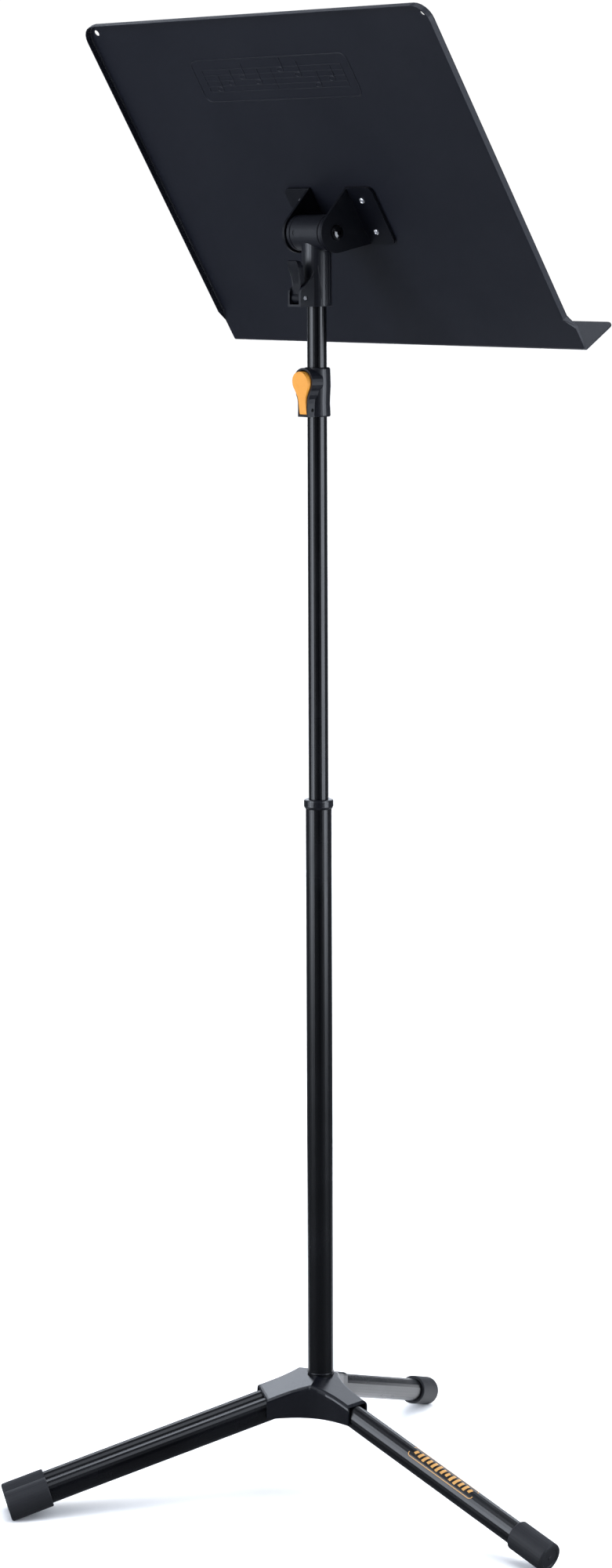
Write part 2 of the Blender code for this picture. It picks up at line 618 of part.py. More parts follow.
def build_grip():
    bulb_z = GRIP_TOP - POD_BULB_R
    sleeve_outline = [(0.0, GRIP_Z), (GRIP_R - 0.0006, GRIP_Z), (GRIP_R + 0.0002, GRIP_Z + 0.0010)]
    for share, swell in ((0.12, 0.0), (0.28, -0.0004), (0.45, 0.0), (0.62, 0.0004), (0.80, 0.0003)):
        sleeve_outline.append((GRIP_R + swell, GRIP_Z + share * GRIP_HEIGHT))
    sleeve_outline += [(GRIP_R, GRIP_TOP - 0.0014), (GRIP_R - 0.0004, GRIP_TOP - 0.0004)]
    sleeve_outline += [(GRIP_R - 0.0014, GRIP_TOP), (0.0, GRIP_TOP)]
    sleeve = lathe(sleeve_outline, 40)
    grip = add_object("trigger_housing", sleeve, "satin_plastic", SLIDE)
    cut(grip, prism(pod_outline(POD_BULB_R, POD_NECK, GRIP_Z, bulb_z), 0.004, POD_DEPTH, "XZ"), "UNION")
    recess = pod_outline(POD_BULB_R - POD_RIM, POD_NECK - POD_RIM, GRIP_Z + POD_RIM, bulb_z)
    cut(grip, prism(recess, UPPER_TUBE_R + 0.0011, 0.04, "XZ"))
    cut(grip, lathe(ring_profile(UPPER_TUBE_R + FIT_GAP, 0.0, GRIP_Z - 0.01, GRIP_TOP + 0.01), 32))
    cut(grip, box((-FINGER_HALF - SLIDE_GAP * 2, 0.004, TRIGGER_PIN_Z - 0.0035),
                  (FINGER_HALF + SLIDE_GAP * 2, 0.014, TRIGGER_PIN_Z + 0.0030)))
    pin_place = Matrix.Translation((0.0, TRIGGER_PIN_OUT, TRIGGER_PIN_Z))
    hole = lathe(ring_profile(TRIGGER_PIN_R + FIT_GAP, 0.0, -0.03, 0.03), 16, pin_place @ along_x())
    cut(grip, hole)

    pin_half = POD_NECK - 0.0004
    pin = lathe(ring_profile(TRIGGER_PIN_R, 0.0, -pin_half, pin_half), 16, pin_place @ along_x())
    add_object("trigger_pin", pin, "bright_steel", SLIDE)

    centre = Matrix.Translation((0.0, -TRIGGER_PIN_OUT, -TRIGGER_PIN_Z))
    rim = POD_RIM + TRIGGER_GAP
    outline = pod_outline(POD_BULB_R - rim, POD_NECK - rim, GRIP_Z + rim, bulb_z - TRIGGER_TOP_GAP + TRIGGER_GAP)
    body = prism(outline, 0.0, 0.04, "XZ")
    bmesh.ops.transform(body, matrix=centre, verts=body.verts)
    trigger = add_object("height_trigger", body, "trigger_yellow", TRIGGER)
    low, high = GRIP_Z, GRIP_TOP
    depth = [
        (0.0115, low),
        (TRIGGER_FACE_FOOT - 0.001, low),
        (TRIGGER_FACE_FOOT, low + 0.006),
        (TRIGGER_FACE_TOP, high - 0.006),
        (TRIGGER_FACE_TOP - 0.001, high),
        (TRIGGER_BACK_TOP, high),
        (TRIGGER_BACK_TOP - 0.0015, bulb_z - 0.008),
        (0.0115, TRIGGER_PIN_Z + 0.004),
    ]
    keep = prism(depth, -0.03, 0.03, "YZ")
    bmesh.ops.transform(keep, matrix=centre, verts=keep.verts)
    cut(trigger, keep, "INTERSECT")
    finger = box((-FINGER_HALF, FINGER_TIP, TRIGGER_PIN_Z - 0.0015), (FINGER_HALF, 0.0135, TRIGGER_PIN_Z + 0.0015))
    bmesh.ops.transform(finger, matrix=centre, verts=finger.verts)
    cut(trigger, finger, "UNION")
    cut(trigger, lathe(ring_profile(TRIGGER_PIN_R + SLIDE_GAP, 0.0, -0.03, 0.03), 16, along_x()))
    bevel(trigger, 0.0007, 2, 50.0)


def build_lock():
    """Release rod and the wedge lock that it works, at the upper tube's foot."""
    flange_low = UPPER_FOOT - FIT_GAP - LOCK_FLANGE
    shoe_low = flange_low - FIT_GAP - SHOE_HEIGHT
    wedge_high = flange_low - 0.0006
    wedge_low = wedge_high - SHOE_HEIGHT + 0.0020
    floor_high = wedge_low - 2 * FIT_GAP - SPRING_LENGTH
    ledge = shoe_low - FIT_GAP
    guide = LOWER_BORE - SLIDE_GAP
    rod_hole = ROD_R + SLIDE_GAP
    top = UPPER_FOOT + LOCK_SPIGOT
    flange_high = flange_low + LOCK_FLANGE
    body = [(rod_hole, flange_low), (guide, flange_low), (guide, flange_high)]
    body += [(UPPER_BORE - FIT_GAP, flange_high), (UPPER_BORE - FIT_GAP, top), (rod_hole, top)]
    lock = add_object("lock_body", lathe(body, 32), "nylon", SLIDE)
    cup = [(0.0, floor_high - CAGE_FLOOR), (guide, floor_high - CAGE_FLOOR), (guide, ledge), (CUP_BORE_R, ledge)]
    cup += [(CUP_BORE_R, floor_high), (0.0, floor_high)]
    cut(lock, lathe(cup, 32), "UNION")
    for side in (-1, 1):
        near, far = sorted((side * (SHOE_HALF_WIDTH + SLIDE_GAP), side * PILLAR_OUT))
        pillar = box((near, -PILLAR_HALF, ledge - 0.001), (far, PILLAR_HALF, flange_low + 0.001))
        cut(lock, pillar, "UNION")

    rod_top = TRIGGER_PIN_Z - 0.0015 - FIT_GAP
    rod = ring_profile(ROD_R, 0.0, wedge_high + FIT_GAP, rod_top)
    add_object("release_rod", lathe(rod, 16), "bright_steel", RELEASE)
    wedge_side = [(-WEDGE_FOOT, wedge_low), (WEDGE_FOOT, wedge_low), (WEDGE_TOP, wedge_high), (-WEDGE_TOP, wedge_high)]
    wedge = prism(wedge_side, -WEDGE_HALF_WIDTH, WEDGE_HALF_WIDTH, "YZ")
    add_object("lock_wedge", wedge, "bright_steel", RELEASE)

    slope = (WEDGE_FOOT - WEDGE_TOP) / (wedge_high - wedge_low)
    for side, holder in ((1, SHOE_BACK), (-1, SHOE_FRONT)):
        gap = 2 * FIT_GAP
        at_low = WEDGE_TOP + slope * (wedge_high - shoe_low) + gap
        at_high = WEDGE_TOP + gap
        section = [(side * at_low, shoe_low), (side * 0.02, shoe_low)]
        section += [(side * 0.02, flange_low - FIT_GAP), (side * at_high, flange_low - FIT_GAP)]
        name = "lock_shoe_back" if side == 1 else "lock_shoe_front"
        shoe = add_object(name, prism(section, -SHOE_HALF_WIDTH, SHOE_HALF_WIDTH, "YZ"), "nylon", holder)
        cut(shoe, lathe(ring_profile(guide, 0.0, shoe_low - 0.01, flange_low + 0.01), 32), "INTERSECT")

    coil = bmesh.new()
    turns, per_turn, around = 3, 12, 6
    low = floor_high + FIT_GAP + SPRING_WIRE
    rise = SPRING_LENGTH - 2 * SPRING_WIRE
    rings = []
    for step in range(turns * per_turn + 1):
        angle = 2 * math.pi * step / per_turn
        height = low + rise * step / (turns * per_turn)
        ring = []
        for corner in range(around):
            tilt = 2 * math.pi * corner / around
            radius = SPRING_R + SPRING_WIRE * math.cos(tilt)
            ring.append(coil.verts.new((radius * math.cos(angle), radius * math.sin(angle),
                                        height + SPRING_WIRE * math.sin(tilt))))
        rings.append(ring)
    for near, far in zip(rings, rings[1:]):
        for corner in range(around):
            after = (corner + 1) % around
            coil.faces.new((near[corner], near[after], far[after], far[corner]))
    coil.faces.new(rings[0])
    coil.faces.new(rings[-1])
    add_object("lock_spring", coil, "bright_steel", SLIDE)


# ---------------------------------------------------------------- tilting head
def build_head():
    socket = ring_profile(SOCKET_R, 0.0, HEAD_Z, PIVOT_Z, 0.0006)
    head = add_object("tilt_head", lathe(socket, 40), "satin_plastic", HEAD)
    barrel_place = Matrix.Translation((0.0, 0.0, PIVOT_Z))
    barrel = ring_profile(BARREL_R, 0.0, -BARREL_HALF, BARREL_HALF, 0.0006)
    cut(head, lathe(barrel, 48, barrel_place @ along_x()), "UNION")
    cheek = [
        (0.0, HEAD_Z),
        (FORK_REACH, HEAD_Z),
        (FORK_REACH, HEAD_Z + 0.0130),
        (FORK_REACH - 0.0006, HEAD_Z + 0.0158),
        (FORK_REACH - 0.0026, HEAD_Z + 0.0182),
        (FORK_REACH - 0.0085, HEAD_Z + 0.0224),
        (0.0, HEAD_Z + 0.0385),
    ]
    cut(head, prism(cheek, -FORK_HALF, FORK_HALF, "YZ"), "UNION")
    slot_half = FORK_HALF - FORK_WALL
    slot = box((-slot_half, SOCKET_R + 0.0002, HEAD_Z + FORK_FLOOR), (slot_half, FORK_REACH + 0.01, HEAD_Z + 0.06))
    cut(head, slot)
    bore = ring_profile(UPPER_TUBE_R + SLIDE_GAP, 0.0, HEAD_Z - 0.01, HEAD_Z + SOCKET_DEPTH)
    cut(head, lathe(bore, 32))
    window = box((-SHOE_PAD_HALF - SLIDE_GAP, 0.0, HEAD_Z + 0.0030), (SHOE_PAD_HALF + SLIDE_GAP, 0.02, HEAD_Z + 0.0135))
    cut(head, window)
    cut(head, lathe(ring_profile(BUSH_R + FIT_GAP, 0.0, -0.03, 0.03), 24, barrel_place @ along_x()))
    label_half, label_r = 0.0155, 0.0030
    badge = arc((label_half - label_r, PIVOT_Z), label_r, -90, 90, 6)
    badge += arc((-label_half + label_r, PIVOT_Z), label_r, 90, 270, 6)
    cut(head, prism(badge, BARREL_R - 0.0006, BARREL_R + 0.01, "XZ"))
    pin_place = Matrix.Translation((0.0, LEVER_PIN_OUT, LEVER_PIN_Z))
    cut(head, lathe(ring_profile(LEVER_PIN_R + FIT_GAP, 0.0, -0.02, 0.02), 16, pin_place @ along_x()))
    for low, high in ((-0.02, PIN_RECESS - FORK_HALF), (FORK_HALF - PIN_RECESS, 0.02)):
        cut(head, lathe(ring_profile(PIN_RECESS_R, 0.0, low, high), 20, pin_place @ along_x()))

    pin = ring_profile(LEVER_PIN_R, 0.0, -FORK_HALF + 0.0002, FORK_HALF - 0.0002, 0.0003)
    add_object("lever_pin", lathe(pin, 16, pin_place @ along_x()), "bright_steel", HEAD)
    bush = ring_profile(BUSH_R, PIVOT_BOLT_R + SLIDE_GAP, -BARREL_HALF, BARREL_HALF)
    add_object("pivot_bush", lathe(bush, 24, barrel_place @ along_x()), "bright_steel", HEAD)
    for name, side in (("friction_disc_left", -1), ("friction_disc_right", 1)):
        near = side * (BARREL_HALF + FIT_GAP)
        far = side * (BARREL_HALF + FIT_GAP + DISC_THICKNESS)
        low, high = sorted((near, far))
        disc = ring_profile(BARREL_R, PIVOT_BOLT_R + SLIDE_GAP, low, high, 0.0008)
        add_object(name, lathe(disc, 40, barrel_place @ along_x()), "satin_plastic", HEAD)

    centre = Matrix.Translation((0.0, -LEVER_PIN_OUT, -LEVER_PIN_Z))
    blade_half = slot_half - 0.0006
    low = HEAD_Z + 0.0115
    blade = [
        (LEVER_PIN_OUT - 0.0030, low),
        (LEVER_PIN_OUT + 0.0036, low),
        (LEVER_PIN_OUT + 0.0042, HEAD_Z + 0.0190),
        (LEVER_PIN_OUT + 0.0044, HEAD_Z + 0.0250),
        (LEVER_PIN_OUT + 0.0062, HEAD_Z + 0.0330),
        (LEVER_PIN_OUT + 0.0090, HEAD_Z + 0.0410),
        (LEVER_PIN_OUT + 0.0098, HEAD_Z + 0.0440),
        (LEVER_PIN_OUT + 0.0085, HEAD_Z + LEVER_TOP),
        (LEVER_PIN_OUT + 0.0045, HEAD_Z + LEVER_TOP - 0.0010),
        (LEVER_PIN_OUT + 0.0020, HEAD_Z + 0.0400),
        (LEVER_PIN_OUT + 0.0002, HEAD_Z + 0.0330),
        (LEVER_PIN_OUT - 0.0010, HEAD_Z + 0.0250),
    ]
    body = prism(blade, -LEVER_TIP_HALF - 0.001, LEVER_TIP_HALF + 0.001, "YZ")
    bmesh.ops.transform(body, matrix=centre, verts=body.verts)
    lever = add_object("quick_release_lever", body, "black_plastic", LEVER)
    edge = [(blade_half, low - 0.001), (blade_half, HEAD_Z + 0.0200), (LEVER_TIP_HALF - 0.0006, HEAD_Z + 0.0320)]
    edge += [(LEVER_TIP_HALF, HEAD_Z + 0.0380), (LEVER_TIP_HALF - 0.0004, HEAD_Z + 0.0425)]
    edge += [(LEVER_TIP_HALF - 0.0024, HEAD_Z + LEVER_TOP), (0.0, HEAD_Z + LEVER_TOP + 0.0008)]
    face = prism(edge + [(-x, z) for x, z in reversed(edge[:-1])], -0.02, 0.06, "XZ")
    bmesh.ops.transform(face, matrix=centre, verts=face.verts)
    cut(lever, face, "INTERSECT")
    cam_half = blade_half - 0.0003
    cam_place = Matrix.Translation((0.0, -CAM_THROW, 0.0)) @ along_x()
    cam = lathe(ring_profile(CAM_R, 0.0, -cam_half, cam_half), 32, cam_place)
    cut(lever, cam, "UNION")
    cut(lever, lathe(ring_profile(LEVER_PIN_R + SLIDE_GAP, 0.0, -0.02, 0.02), 16, along_x()))
    bevel(lever, 0.0006, 2, 50.0)

    pad_out = LEVER_PIN_OUT - CAM_THROW - CAM_R - CAM_GAP
    pad = box((-SHOE_PAD_HALF, 0.0, HEAD_Z + 0.0033), (SHOE_PAD_HALF, pad_out, HEAD_Z + 0.0132))
    clamp = add_object("clamp_shoe", pad, "nylon", CLAMP)
    cut(clamp, lathe(ring_profile(UPPER_TUBE_R + FIT_GAP, 0.0, HEAD_Z - 0.01, HEAD_Z + 0.03), 32))


# ---------------------------------------------------------------- desk
def desk_surface():
    """The desk's back skin: flat sheet, rim turned back along the sides and top, and the lip turned forward."""
    bm = bmesh.new()
    back = -DESK_OFFSET
    foot = -DESK_BELOW_PIVOT
    half = DESK_WIDTH / 2
    inset = DESK_SHEET + DESK_RIM_BEND_R
    flat = half - DESK_SIDE_STEP - inset
    top = foot + DESK_HEIGHT - inset
    inner_r = DESK_CORNER_R - inset
    start = foot + DESK_FLANGE_START
    rim = [(half, start), (flat, start + DESK_FLANGE_RAMP)]
    rim += arc((flat - inner_r, top - inner_r), inner_r, 0, 90, 6)
    rim += [(-x, z) for x, z in reversed(rim)]
    foot_flat = foot + DESK_BEND_R
    plate = [(half, foot_flat)] + rim + [(-half, foot_flat)]
    skin = [bm.verts.new((x, back, z)) for x, z in plate]
    bm.faces.new(skin)
    outward = []
    for index, (x, z) in enumerate(rim):
        side = 1.0 if x > 0 else -1.0
        if index in (0, 1, len(rim) - 2, len(rim) - 1):
            outward.append(Vector((side, 0.0)))
        else:
            outward.append((Vector((x, z)) - Vector((side * (flat - inner_r), top - inner_r))).normalized())
    previous = skin[1:-1]
    ends = [previous[0], previous[-1]]
    for swing, depth in ((30.0, None), (60.0, None), (90.0, None), (90.0, DESK_FLANGE)):
        angle = math.radians(swing)
        reach = DESK_RIM_BEND_R * math.sin(angle)
        y = back + (depth or DESK_RIM_BEND_R * (1 - math.cos(angle)))
        row = []
        for (x, z), away in zip(rim[1:-1], outward[1:-1]):
            row.append(bm.verts.new((x + away.x * reach, y, z + away.y * reach)))
        row = ends[:1] + row + ends[1:]
        for index in range(len(rim) - 1):
            corners = (previous[index], previous[index + 1], row[index + 1], row[index])
            bm.faces.new(list(dict.fromkeys(corners)))
        previous = row
    previous = [skin[0], skin[-1]]
    for angle in (math.radians(30), math.radians(60), math.radians(90)):
        depth = DESK_BEND_R * (1 - math.cos(angle))
        drop = foot_flat - DESK_BEND_R * math.sin(angle)
        row = [bm.verts.new((side * half, back - depth, drop)) for side in (1, -1)]
        bm.faces.new((previous[0], row[0], row[1], previous[1]))
        previous = row
    lip_front = back - LIP_DEPTH
    corner = arc((half - LIP_CORNER_R, lip_front + LIP_CORNER_R), LIP_CORNER_R, 0, -90, 6)
    shelf = previous[:1] + [bm.verts.new((x, y, foot)) for x, y in corner]
    shelf += [bm.verts.new((-x, y, foot)) for x, y in reversed(corner)] + previous[1:]
    bm.faces.new(shelf)
    return bm


def build_desk():
    bm = desk_surface()
    bmesh.ops.recalc_face_normals(bm, faces=bm.faces)
    widest = max(bm.faces, key=lambda face: face.calc_area())
    if widest.normal.y < 0:
        bmesh.ops.reverse_faces(bm, faces=bm.faces)
    mesh = bpy.data.meshes.new("desk_panel")
    bm.to_mesh(mesh)
    bm.free()
    mesh.materials.append(MATERIALS["powder_coat"])
    desk = bpy.data.objects.new("desk_panel", mesh)
    bpy.context.scene.collection.objects.link(desk)
    desk.parent = DESK
    wall = desk.modifiers.new("sheet", "SOLIDIFY")
    wall.thickness = DESK_SHEET
    wall.offset = -1.0
    wall.use_even_offset = True
    bpy.context.view_layer.update()
    solid = bpy.data.meshes.new_from_object(desk.evaluated_get(bpy.context.evaluated_depsgraph_get()))
    desk.modifiers.clear()
    desk.data = solid
    bpy.data.meshes.remove(mesh)
    for side in (-1, 1):
        x = side * (DESK_WIDTH / 2 - DESK_SIDE_STEP - HANG_HOLE_IN)
        z = DESK_HEIGHT - DESK_BELOW_PIVOT - HANG_HOLE_DOWN
        place = Matrix.Translation((x, -DESK_OFFSET, z)) @ Matrix.Rotation(math.radians(90), 4, "X")
        cut(desk, lathe(ring_profile(HANG_HOLE_R, 0.0, -0.02, 0.02), 20, place))
    for x, z in rivet_places():
        place = Matrix.Translation((x, -DESK_OFFSET, z)) @ Matrix.Rotation(math.radians(90), 4, "X")
        cut(desk, lathe(ring_profile(RIVET_SHANK_R + FIT_GAP, 0.0, -0.02, 0.02), 12, place))
    for polygon in desk.data.polygons:
        polygon.use_smooth = False


def rivet_places():
    return [(side * (EAR_OUTER + RIVET_IN), z) for side in (-1, 1) for z in (RIVET_UP, -RIVET_DOWN)]


def tangent_angle(across, along):
    """Angle where a straight edge from a corner of the bracket runs into its round end."""
    corner = math.degrees(math.atan2(along, across))
    return corner - math.degrees(math.acos(BRACKET_R / math.hypot(across, along)))


def build_brackets():
    seat = -DESK_OFFSET + FIT_GAP
    for name, side in (("bracket_left", -1), ("bracket_right", 1)):
        ear = [(seat, -BRACKET_FOOT)] + arc((0.0, 0.0), BRACKET_R, -tangent_angle(seat, BRACKET_FOOT),
                                            tangent_angle(seat, BRACKET_TOP), 16) + [(seat, BRACKET_TOP)]
        near, far = sorted((side * EAR_INNER, side * EAR_OUTER))
        bracket = add_object(name, prism(ear, near, far, "YZ"), "powder_coat", DESK)
        rounding = 0.006
        edge = side * (EAR_OUTER + BRACKET_FLANGE - rounding)
        upper = arc((0.0, 0.0), rounding, 0, 90, 4)
        lower = arc((0.0, 0.0), rounding, -90, 0, 4)
        flange = [(side * EAR_INNER, -BRACKET_FOOT)]
        flange += [(edge + side * x, z - BRACKET_FOOT + rounding) for x, z in lower]
        flange += [(edge + side * x, z + BRACKET_TOP - rounding) for x, z in upper]
        flange += [(side * EAR_INNER, BRACKET_TOP)]
        cut(bracket, prism(flange, seat, seat + BRACKET_SHEET, "XZ"), "UNION")
        cut(bracket, lathe(ring_profile(PIVOT_BOLT_R + FIT_GAP, 0.0, -0.05, 0.05), 24, along_x()))
        for x, z in rivet_places():
            if x * side > 0:
                place = Matrix.Translation((x, -DESK_OFFSET, z)) @ Matrix.Rotation(math.radians(90), 4, "X")
                cut(bracket, lathe(ring_profile(RIVET_SHANK_R + FIT_GAP, 0.0, -0.02, 0.02), 16, place))
        bevel(bracket, SHEET_EDGE_R, 2, 50.0)

    front = -DESK_OFFSET - DESK_SHEET
    head = seat + BRACKET_SHEET + FIT_GAP
    for number, (x, z) in enumerate(rivet_places(), 1):
        profile = [
            (RIVET_BORE_R, front + FIT_GAP),
            (RIVET_SHANK_R, front + FIT_GAP),
            (RIVET_SHANK_R, head),
            (RIVET_HEAD_R, head),
            (RIVET_HEAD_R - 0.0003, head + 0.0006),
            (RIVET_SHANK_R, head + 0.0009),
            (RIVET_BORE_R, head + 0.0005),
        ]
        turn = Matrix.Translation((x, 0.0, z)) @ Matrix.Rotation(math.radians(-90), 4, "X")
        add_object(f"rivet_{number}", lathe(profile, 20, turn), "bright_steel", DESK)

    outer = EAR_OUTER + FIT_GAP
    washer_end = outer + 0.0012
    nut_end = washer_end + FIT_GAP + NUT_THICKNESS
    bolt = [
        (0.0, -outer - BOLT_HEAD),
        (BOLT_HEAD_R * 0.42, -outer - BOLT_HEAD * 0.96),
        (BOLT_HEAD_R * 0.74, -outer - BOLT_HEAD * 0.78),
        (BOLT_HEAD_R * 0.94, -outer - BOLT_HEAD * 0.45),
        (BOLT_HEAD_R, -outer - BOLT_HEAD * 0.12),
        (BOLT_HEAD_R, -outer),
        (PIVOT_BOLT_R, -outer),
        (PIVOT_BOLT_R, nut_end + 0.001),
        (0.0, nut_end + 0.001),
    ]
    pivot_bolt = add_object("pivot_bolt", lathe(bolt, 32, along_x()), "black_steel", DESK)
    cut(pivot_bolt, prism(arc((0.0, 0.0), BOLT_HEX, 0, 300, 5), -outer - 0.01, -outer - BOLT_HEAD + 0.0028, "YZ"))
    washer = ring_profile(NUT_R + 0.0008, PIVOT_BOLT_R + FIT_GAP, outer, washer_end, 0.0003)
    add_object("nut_washer", lathe(washer, 32, along_x()), "bright_steel", DESK)
    nut = add_object("pivot_nut", prism(arc((0.0, 0.0), NUT_R, 0, 300, 5), washer_end + FIT_GAP, nut_end, "YZ"),
                     "bright_steel", DESK)
    cut(nut, lathe(ring_profile(PIVOT_BOLT_R + FIT_GAP, 0.0, 0.0, 0.1), 24, along_x()))


def centre_on_origin():
    """Moves the stand so that its box is centred over the origin."""
    bpy.context.view_layer.update()
    lows, highs = [], []
    for part in bpy.context.scene.objects:
        if part.type == "MESH":
            corners = [part.matrix_world @ vert.co for vert in part.data.vertices]
            lows.append([min(corner[axis] for corner in corners) for axis in range(3)])
            highs.append([max(corner[axis] for corner in corners) for axis in range(3)])
    for axis in range(2):
        STAND.location[axis] = -(min(low[axis] for low in lows) + max(high[axis] for high in highs)) / 2
    bpy.context.view_layer.update()


for old in list(bpy.data.objects):
    bpy.data.objects.remove(old, do_unlink=True)
MATERIALS = {name: make_material(name) for name in FINISHES}

STAND = add_empty("stand", None, (0.0, 0.0, 0.0))
SLIDE = add_empty("height_slide", STAND, (0.0, 0.0, 0.0))
RELEASE = add_empty("rod_slide", SLIDE, (0.0, 0.0, 0.0))
SHOE_BACK = add_empty("shoe_back_slide", SLIDE, (0.0, 0.0, 0.0))
SHOE_FRONT = add_empty("shoe_front_slide", SLIDE, (0.0, 0.0, 0.0))
TRIGGER = add_empty("trigger_hinge", SLIDE, (0.0, TRIGGER_PIN_OUT, TRIGGER_PIN_Z))
HEAD = add_empty("head_swivel", SLIDE, (0.0, 0.0, 0.0))
LEVER = add_empty("lever_hinge", HEAD, (0.0, LEVER_PIN_OUT, LEVER_PIN_Z))
CLAMP = add_empty("clamp_slide", HEAD, (0.0, 0.0, 0.0))
DESK = add_empty("desk_tilt", HEAD, (0.0, 0.0, PIVOT_Z), (-DESK_LEAN, 0.0, 0.0))

build_base()
build_post()
build_grip()
build_lock()
build_head()
build_desk()
build_brackets()
centre_on_origin()
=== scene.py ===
# %% [markdown]
# # A music stand, dressed for its picture
# The metal and plastic pieces arrive with their true shape and size. This lesson lights them, puts the
# camera in place and gives every piece the finish it has on a real stand. Small moulded and printed
# details, too fine for the solid model, are added as pieces of their own.

# %% Load the stand
import json
import math

import bmesh
import bpy
from mathutils import Matrix, Vector


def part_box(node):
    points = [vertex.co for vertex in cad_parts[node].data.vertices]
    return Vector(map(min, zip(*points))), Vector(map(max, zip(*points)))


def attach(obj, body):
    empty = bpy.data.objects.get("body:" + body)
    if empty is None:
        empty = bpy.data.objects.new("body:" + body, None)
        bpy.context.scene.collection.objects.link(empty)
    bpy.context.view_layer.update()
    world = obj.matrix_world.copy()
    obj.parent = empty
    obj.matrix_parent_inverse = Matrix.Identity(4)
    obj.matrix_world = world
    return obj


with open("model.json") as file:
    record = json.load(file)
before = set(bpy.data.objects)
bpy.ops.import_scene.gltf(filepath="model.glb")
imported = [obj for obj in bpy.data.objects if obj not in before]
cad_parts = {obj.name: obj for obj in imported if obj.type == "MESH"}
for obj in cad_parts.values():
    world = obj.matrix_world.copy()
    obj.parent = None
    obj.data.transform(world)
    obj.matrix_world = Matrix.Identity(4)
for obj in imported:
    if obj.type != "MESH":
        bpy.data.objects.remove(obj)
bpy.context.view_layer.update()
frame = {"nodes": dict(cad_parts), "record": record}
NODES = frame["nodes"]
MM = 0.001
SCENE = bpy.context.scene

# %% [markdown]
# ## The post axis and the tilt axis
# Everything on a stand is measured from its post, and everything on its desk from the bolt that it tilts
# on. Both are read from the pieces, so that the rest of the lesson follows if a size changes.

# %% Find the axes
def middle(node):
    low, high = (Vector(corner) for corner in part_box(node))
    return (low + high) / 2


POST = middle("lower_tube")
PIVOT = middle("pivot_bush")
print("post axis", [round(v, 4) for v in POST], "tilt axis", [round(v, 4) for v in PIVOT])

# %% [markdown]
# ## The camera
# A catalogue picture is taken from a little over three metres with a long lens, so that upright lines
# stay nearly parallel. The camera looks level, at the height of the desk, and its picture is shifted
# down to take in the feet. Shifting instead of tilting keeps the post upright, as an architect's camera
# does.

# %% Place the camera
CAMERA_FROM_POST = Vector((-2654.0, 2419.5)) * MM
CAMERA_HEIGHT = 1226.8 * MM
LOOK = Vector((0.7409, -0.6716, 0.0))
LENS = 85.23
SHIFT_DOWN = -0.3566
CAMERA_ROLL = math.radians(-0.21)
ACROSS = Vector((-LOOK.y, LOOK.x, 0.0))
camera_data = bpy.data.cameras.new("camera")
camera_data.sensor_fit = "AUTO"
camera_data.sensor_width = 36.0
camera_data.lens = LENS
camera_data.shift_y = SHIFT_DOWN
camera_data.clip_end = 120.0
camera = bpy.data.objects.new("camera", camera_data)
SCENE.collection.objects.link(camera)
camera.location = (POST.x + CAMERA_FROM_POST.x, POST.y + CAMERA_FROM_POST.y, CAMERA_HEIGHT)
level = LOOK.to_track_quat("-Z", "Y").to_matrix()
camera.rotation_euler = (level @ Matrix.Rotation(CAMERA_ROLL, 3, "Z")).to_euler()
SCENE.camera = camera
SCENE.view_settings.view_transform = "Standard"
print("camera", [round(v, 3) for v in camera.location])

# %% [markdown]
# ## Materials written as sums
# A shader is a graph of nodes, but its maths reads better as a sum. `Value` wraps one socket, and adding
# or multiplying values adds the Math nodes. `Finish` holds one material: its `node` method adds any
# other node, and `wear` joins values to the shader. Numbers that are the same all over go straight onto
# the shader's sockets.

# %% A socket that can be added and multiplied
class Value:
    """One socket of a material. Sums of values add the Math nodes that work them out."""

    def __init__(self, finish, socket):
        self.finish = finish
        self.socket = socket

    def maths(self, operation, first, second):
        return self.finish.node("ShaderNodeMath", {"operation": operation}, {0: first, 1: second})

    def __add__(self, other):
        return self.maths("ADD", self, other)

    def __radd__(self, other):
        return self.maths("ADD", other, self)

    def __sub__(self, other):
        return self.maths("SUBTRACT", self, other)

    def __rsub__(self, other):
        return self.maths("SUBTRACT", other, self)

    def __mul__(self, other):
        return self.maths("MULTIPLY", self, other)

    def __rmul__(self, other):
        return self.maths("MULTIPLY", other, self)


